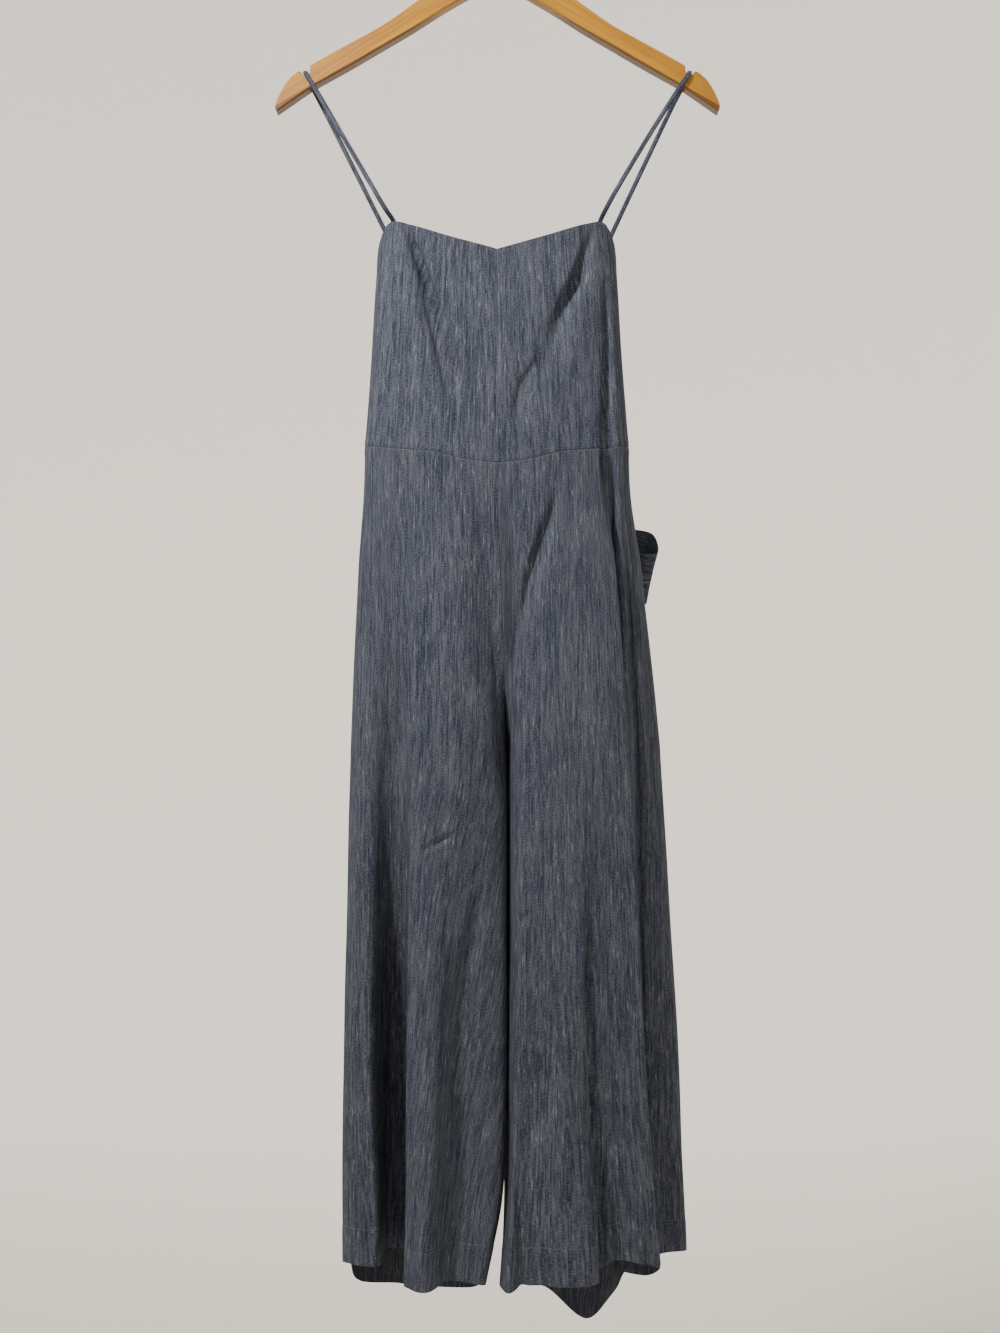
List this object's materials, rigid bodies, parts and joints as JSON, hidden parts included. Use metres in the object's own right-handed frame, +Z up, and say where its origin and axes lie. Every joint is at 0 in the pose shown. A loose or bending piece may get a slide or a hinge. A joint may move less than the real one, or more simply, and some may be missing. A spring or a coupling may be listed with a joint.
{
  "type": "wide-leg romper jumpsuit on a wooden coat hanger",
  "caption": "Wide-leg one-piece garment with narrow straps, a dipped neckline and a bow at the back waist, hung on a notched wooden coat hanger.",
  "frame": {"origin": "the top inside of the hanger's hook, where a rail or peg bears", "axes": "+X to the right as the front is seen, +Y to the back of the garment, +Z up; left and right in node names are as seen from the front"},
  "size_m": [0.4438, 0.166, 1.4792],
  "materials": {
    "slate_chambray": "yarn-dyed slub chambray, slate blue with fine pale and dark upright streaks, matt",
    "honey_wood": "varnished honey-coloured wood, glossy",
    "bright_steel": "polished steel wire"
  },
  "bodies": {
    "root": {"front_bodice": "slate_chambray", "back_bodice": "slate_chambray", "front_leg_left": "slate_chambray", "front_leg_right": "slate_chambray", "back_leg_left": "slate_chambray", "back_leg_right": "slate_chambray", "strap_left": "slate_chambray", "strap_right": "slate_chambray", "tie_band_left": "slate_chambray", "tie_band_right": "slate_chambray", "bow_knot": "slate_chambray", "bow_loop_left": "slate_chambray", "bow_loop_right": "slate_chambray", "bow_tail_left": "slate_chambray", "bow_tail_right": "slate_chambray", "hanger_board": "honey_wood", "hanger_hook": "bright_steel"}
  },
  "joints": []
}
